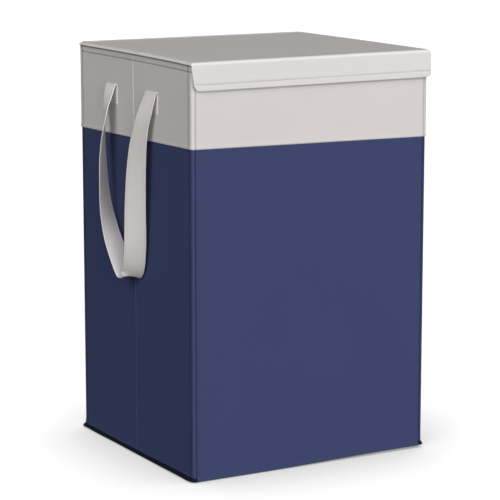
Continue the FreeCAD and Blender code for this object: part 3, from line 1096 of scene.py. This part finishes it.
for side, sx in (("left", -1), ("right", 1)):
    for end, sy, table in (("front", -1, FRONT_LEG), ("rear", 1, REAR_LEG)):
        half_body, strap_body = f"{side}_{end}_half", f"{side}_{end}_strap"
        centres, widths = [], []
        for z, out, off, turn in spline(table):
            turn = math.radians(turn)
            inner = np.array((sx * (HALF_W + out), sy * off, z))
            wide = np.array((sx * math.sin(turn), -sy * math.cos(turn), 0.0))
            centres.append(inner + wide * STRAP_WIDTH / 2)
            widths.append(wide)
        # both legs end at the same place, where they are one tape
        centres, widths, normals = frames(centres, widths)
        # how much paler the leg's top is painted: painted highlight
        painted_light = 0.62 if sy < 0 else 1.0
        leg = ribbon(f"{side}_strap_{end}_leg_tape", centres, widths, normals, painted_light)
        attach(leg, strap_body)
        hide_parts(f"{side}_strap_{end}_leg")
        runs = edge_runs(centres, widths, normals, 1) + edge_runs(centres, widths, normals, -1)
        rows = stitches(f"{side}_strap_{end}_leg_stitches", runs, grey_thread, strap_body, 3.6, 2.6)
        for piece in (leg, rows):
            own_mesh(piece)

        # the sewn end, flat on the wall
        middle, low = (-63.0, 514.8) if sy < 0 else (67.0, 518.2)
        heights = np.linspace(low, STRAP_TOP - 0.8, 8)
        centres = np.array([(sx * (HALF_W + SEWN_OUT), middle, z) for z in heights])
        centres, widths, normals = frames(centres, [(0, -sy, 0)] * len(heights))
        sewn = ribbon(f"{side}_strap_{end}_sewn_end", centres, widths, normals)
        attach(sewn, half_body)
        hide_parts(f"{side}_strap_{end}_end")
        face = HALF_W + SEWN_OUT + STRAP_THICK / 2
        foot, head = low + 3.2, STRAP_TOP - 5.5
        box = [(-12, foot), (12, foot), (12, head), (-12, head), (-12, foot), (12, head)]
        path = [(sx * face, middle + across_tape, z) for across_tape, z in box]
        box_runs = [(pair, [(sx, 0, 0)] * 2) for pair in zip(path, path[1:])]
        box_runs.append(((path[1], path[3]), [(sx, 0, 0)] * 2))
        stitches(f"{side}_strap_{end}_box_stitches", box_runs, grey_thread, half_body, 3.4, 2.5)

        # the fold over the top, from the sewn end to the leg
        bend = []
        for share in np.linspace(0, 1, 13):
            turn = math.pi * (1 - share)
            high = STRAP_TOP - 0.5 + 1.35 * math.sin(turn)
            bend.append((sx * (HALF_W + 2.35 + 1.2 * math.cos(turn)), middle, high))
        bend.insert(0, (sx * (HALF_W + SEWN_OUT), middle, STRAP_TOP - 1.5))
        centres, widths, normals = frames(bend, [(0, -sy, 0)] * len(bend))
        fold = ribbon(f"{side}_strap_{end}_top_fold", centres, widths, normals)
        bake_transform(fold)

# CAD parts that keep their own shape get the card's material
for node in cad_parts:
    if node.endswith("board"):
        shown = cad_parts[node]
        for k in range(len(shown.material_slots)):
            shown.material_slots[k].material = board_card


# Studio: a white floor with a painted contact shadow, and background, a broad key light from the
# front, a fill from the upper front left and one from the rear right

floor_mesh = bpy.data.meshes.new("floor")
floor_mesh.from_pydata([(-8, -8, 0), (8, -8, 0), (8, 8, 0), (-8, 8, 0)], [], [(0, 1, 2, 3)])
floor = bpy.data.objects.new("floor", floor_mesh)
bpy.context.scene.collection.objects.link(floor)
floor.location.z = -0.0004
s = Shader("white floor")
seen = s.node("ShaderNodeLightPath").outputs["Is Camera Ray"]
s.bsdf.inputs["Base Color"].default_value = (0.25, 0.25, 0.25, 1)
s.bsdf.inputs["Roughness"].default_value = 1.0
s.bsdf.inputs["Specular IOR Level"].default_value = 0.0
glow = s.node("ShaderNodeEmission")
glow.inputs["Color"].default_value = (1, 1, 1, 1)
# the floor's glow, for camera rays only, is dimmed by ambient occlusion near the bin: a painted
# contact shadow
near = s.node("ShaderNodeAmbientOcclusion", samples=16)
near.inputs["Distance"].default_value = 0.19
s.link(s.math("MULTIPLY", seen, s.ramp(near.outputs["AO"], 0.2, 0.95)), glow.inputs["Strength"])
both = s.node("ShaderNodeAddShader")
s.link(s.bsdf.outputs[0], both.inputs[0])
s.link(glow.outputs[0], both.inputs[1])
s.link(both.outputs[0], s.out.inputs["Surface"])
floor_mesh.materials.append(s.material)

world = bpy.data.worlds.new("studio")
bpy.context.scene.world = world
world.use_nodes = True
sky_tree = world.node_tree
sky = sky_tree.nodes["Background"]
sky.inputs["Color"].default_value = (1, 1, 1, 1)
rays = sky_tree.nodes.new("ShaderNodeLightPath")
strength = sky_tree.nodes.new("ShaderNodeMapRange")
strength.inputs["To Min"].default_value = 0.05  # on the bin
strength.inputs["To Max"].default_value = 1.05  # straight into the camera
sky_tree.links.new(rays.outputs["Is Camera Ray"], strength.inputs["Value"])
sky_tree.links.new(strength.outputs["Result"], sky.inputs["Strength"])


def soft_light(name, direction, strength, spread):
    """A broad, even light from far off; strength 1 lights a face turned to it fully."""
    light = bpy.data.lights.new(name, "SUN")
    light.energy = strength * math.pi
    light.angle = math.radians(spread)
    lamp = bpy.data.objects.new(name, light)
    bpy.context.scene.collection.objects.link(lamp)
    lamp.rotation_mode = "QUATERNION"
    lamp.rotation_quaternion = Vector(direction).to_track_quat("Z", "Y")


soft_light("front key", (-0.1, -0.97, 0.2), 1.03, 52)
soft_light("left fill", (-0.74, -0.48, 0.47), 0.52, 30)
soft_light("rear right fill", (0.6, 0.8, 0.1), 0.46, 50)

# Camera: in front of the left front corner, a little above the lid, looking slightly down
camera_data = bpy.data.cameras.new("camera")
camera_data.sensor_width = 36.0
camera_data.lens = 153.8
camera = bpy.data.objects.new("camera", camera_data)
bpy.context.scene.collection.objects.link(camera)
bpy.context.scene.camera = camera
yaw, pitch = math.radians(29.515), math.radians(10.313)
camera.location = (-1.5644, -2.7625, 0.8682)
ahead = Vector((math.sin(yaw) * math.cos(pitch), math.cos(yaw) * math.cos(pitch), -math.sin(pitch)))
camera.rotation_mode = "QUATERNION"
camera.rotation_quaternion = ahead.to_track_quat("-Z", "Y")

settings = bpy.context.scene.view_settings
settings.view_transform = "Standard"
settings.look = "None"
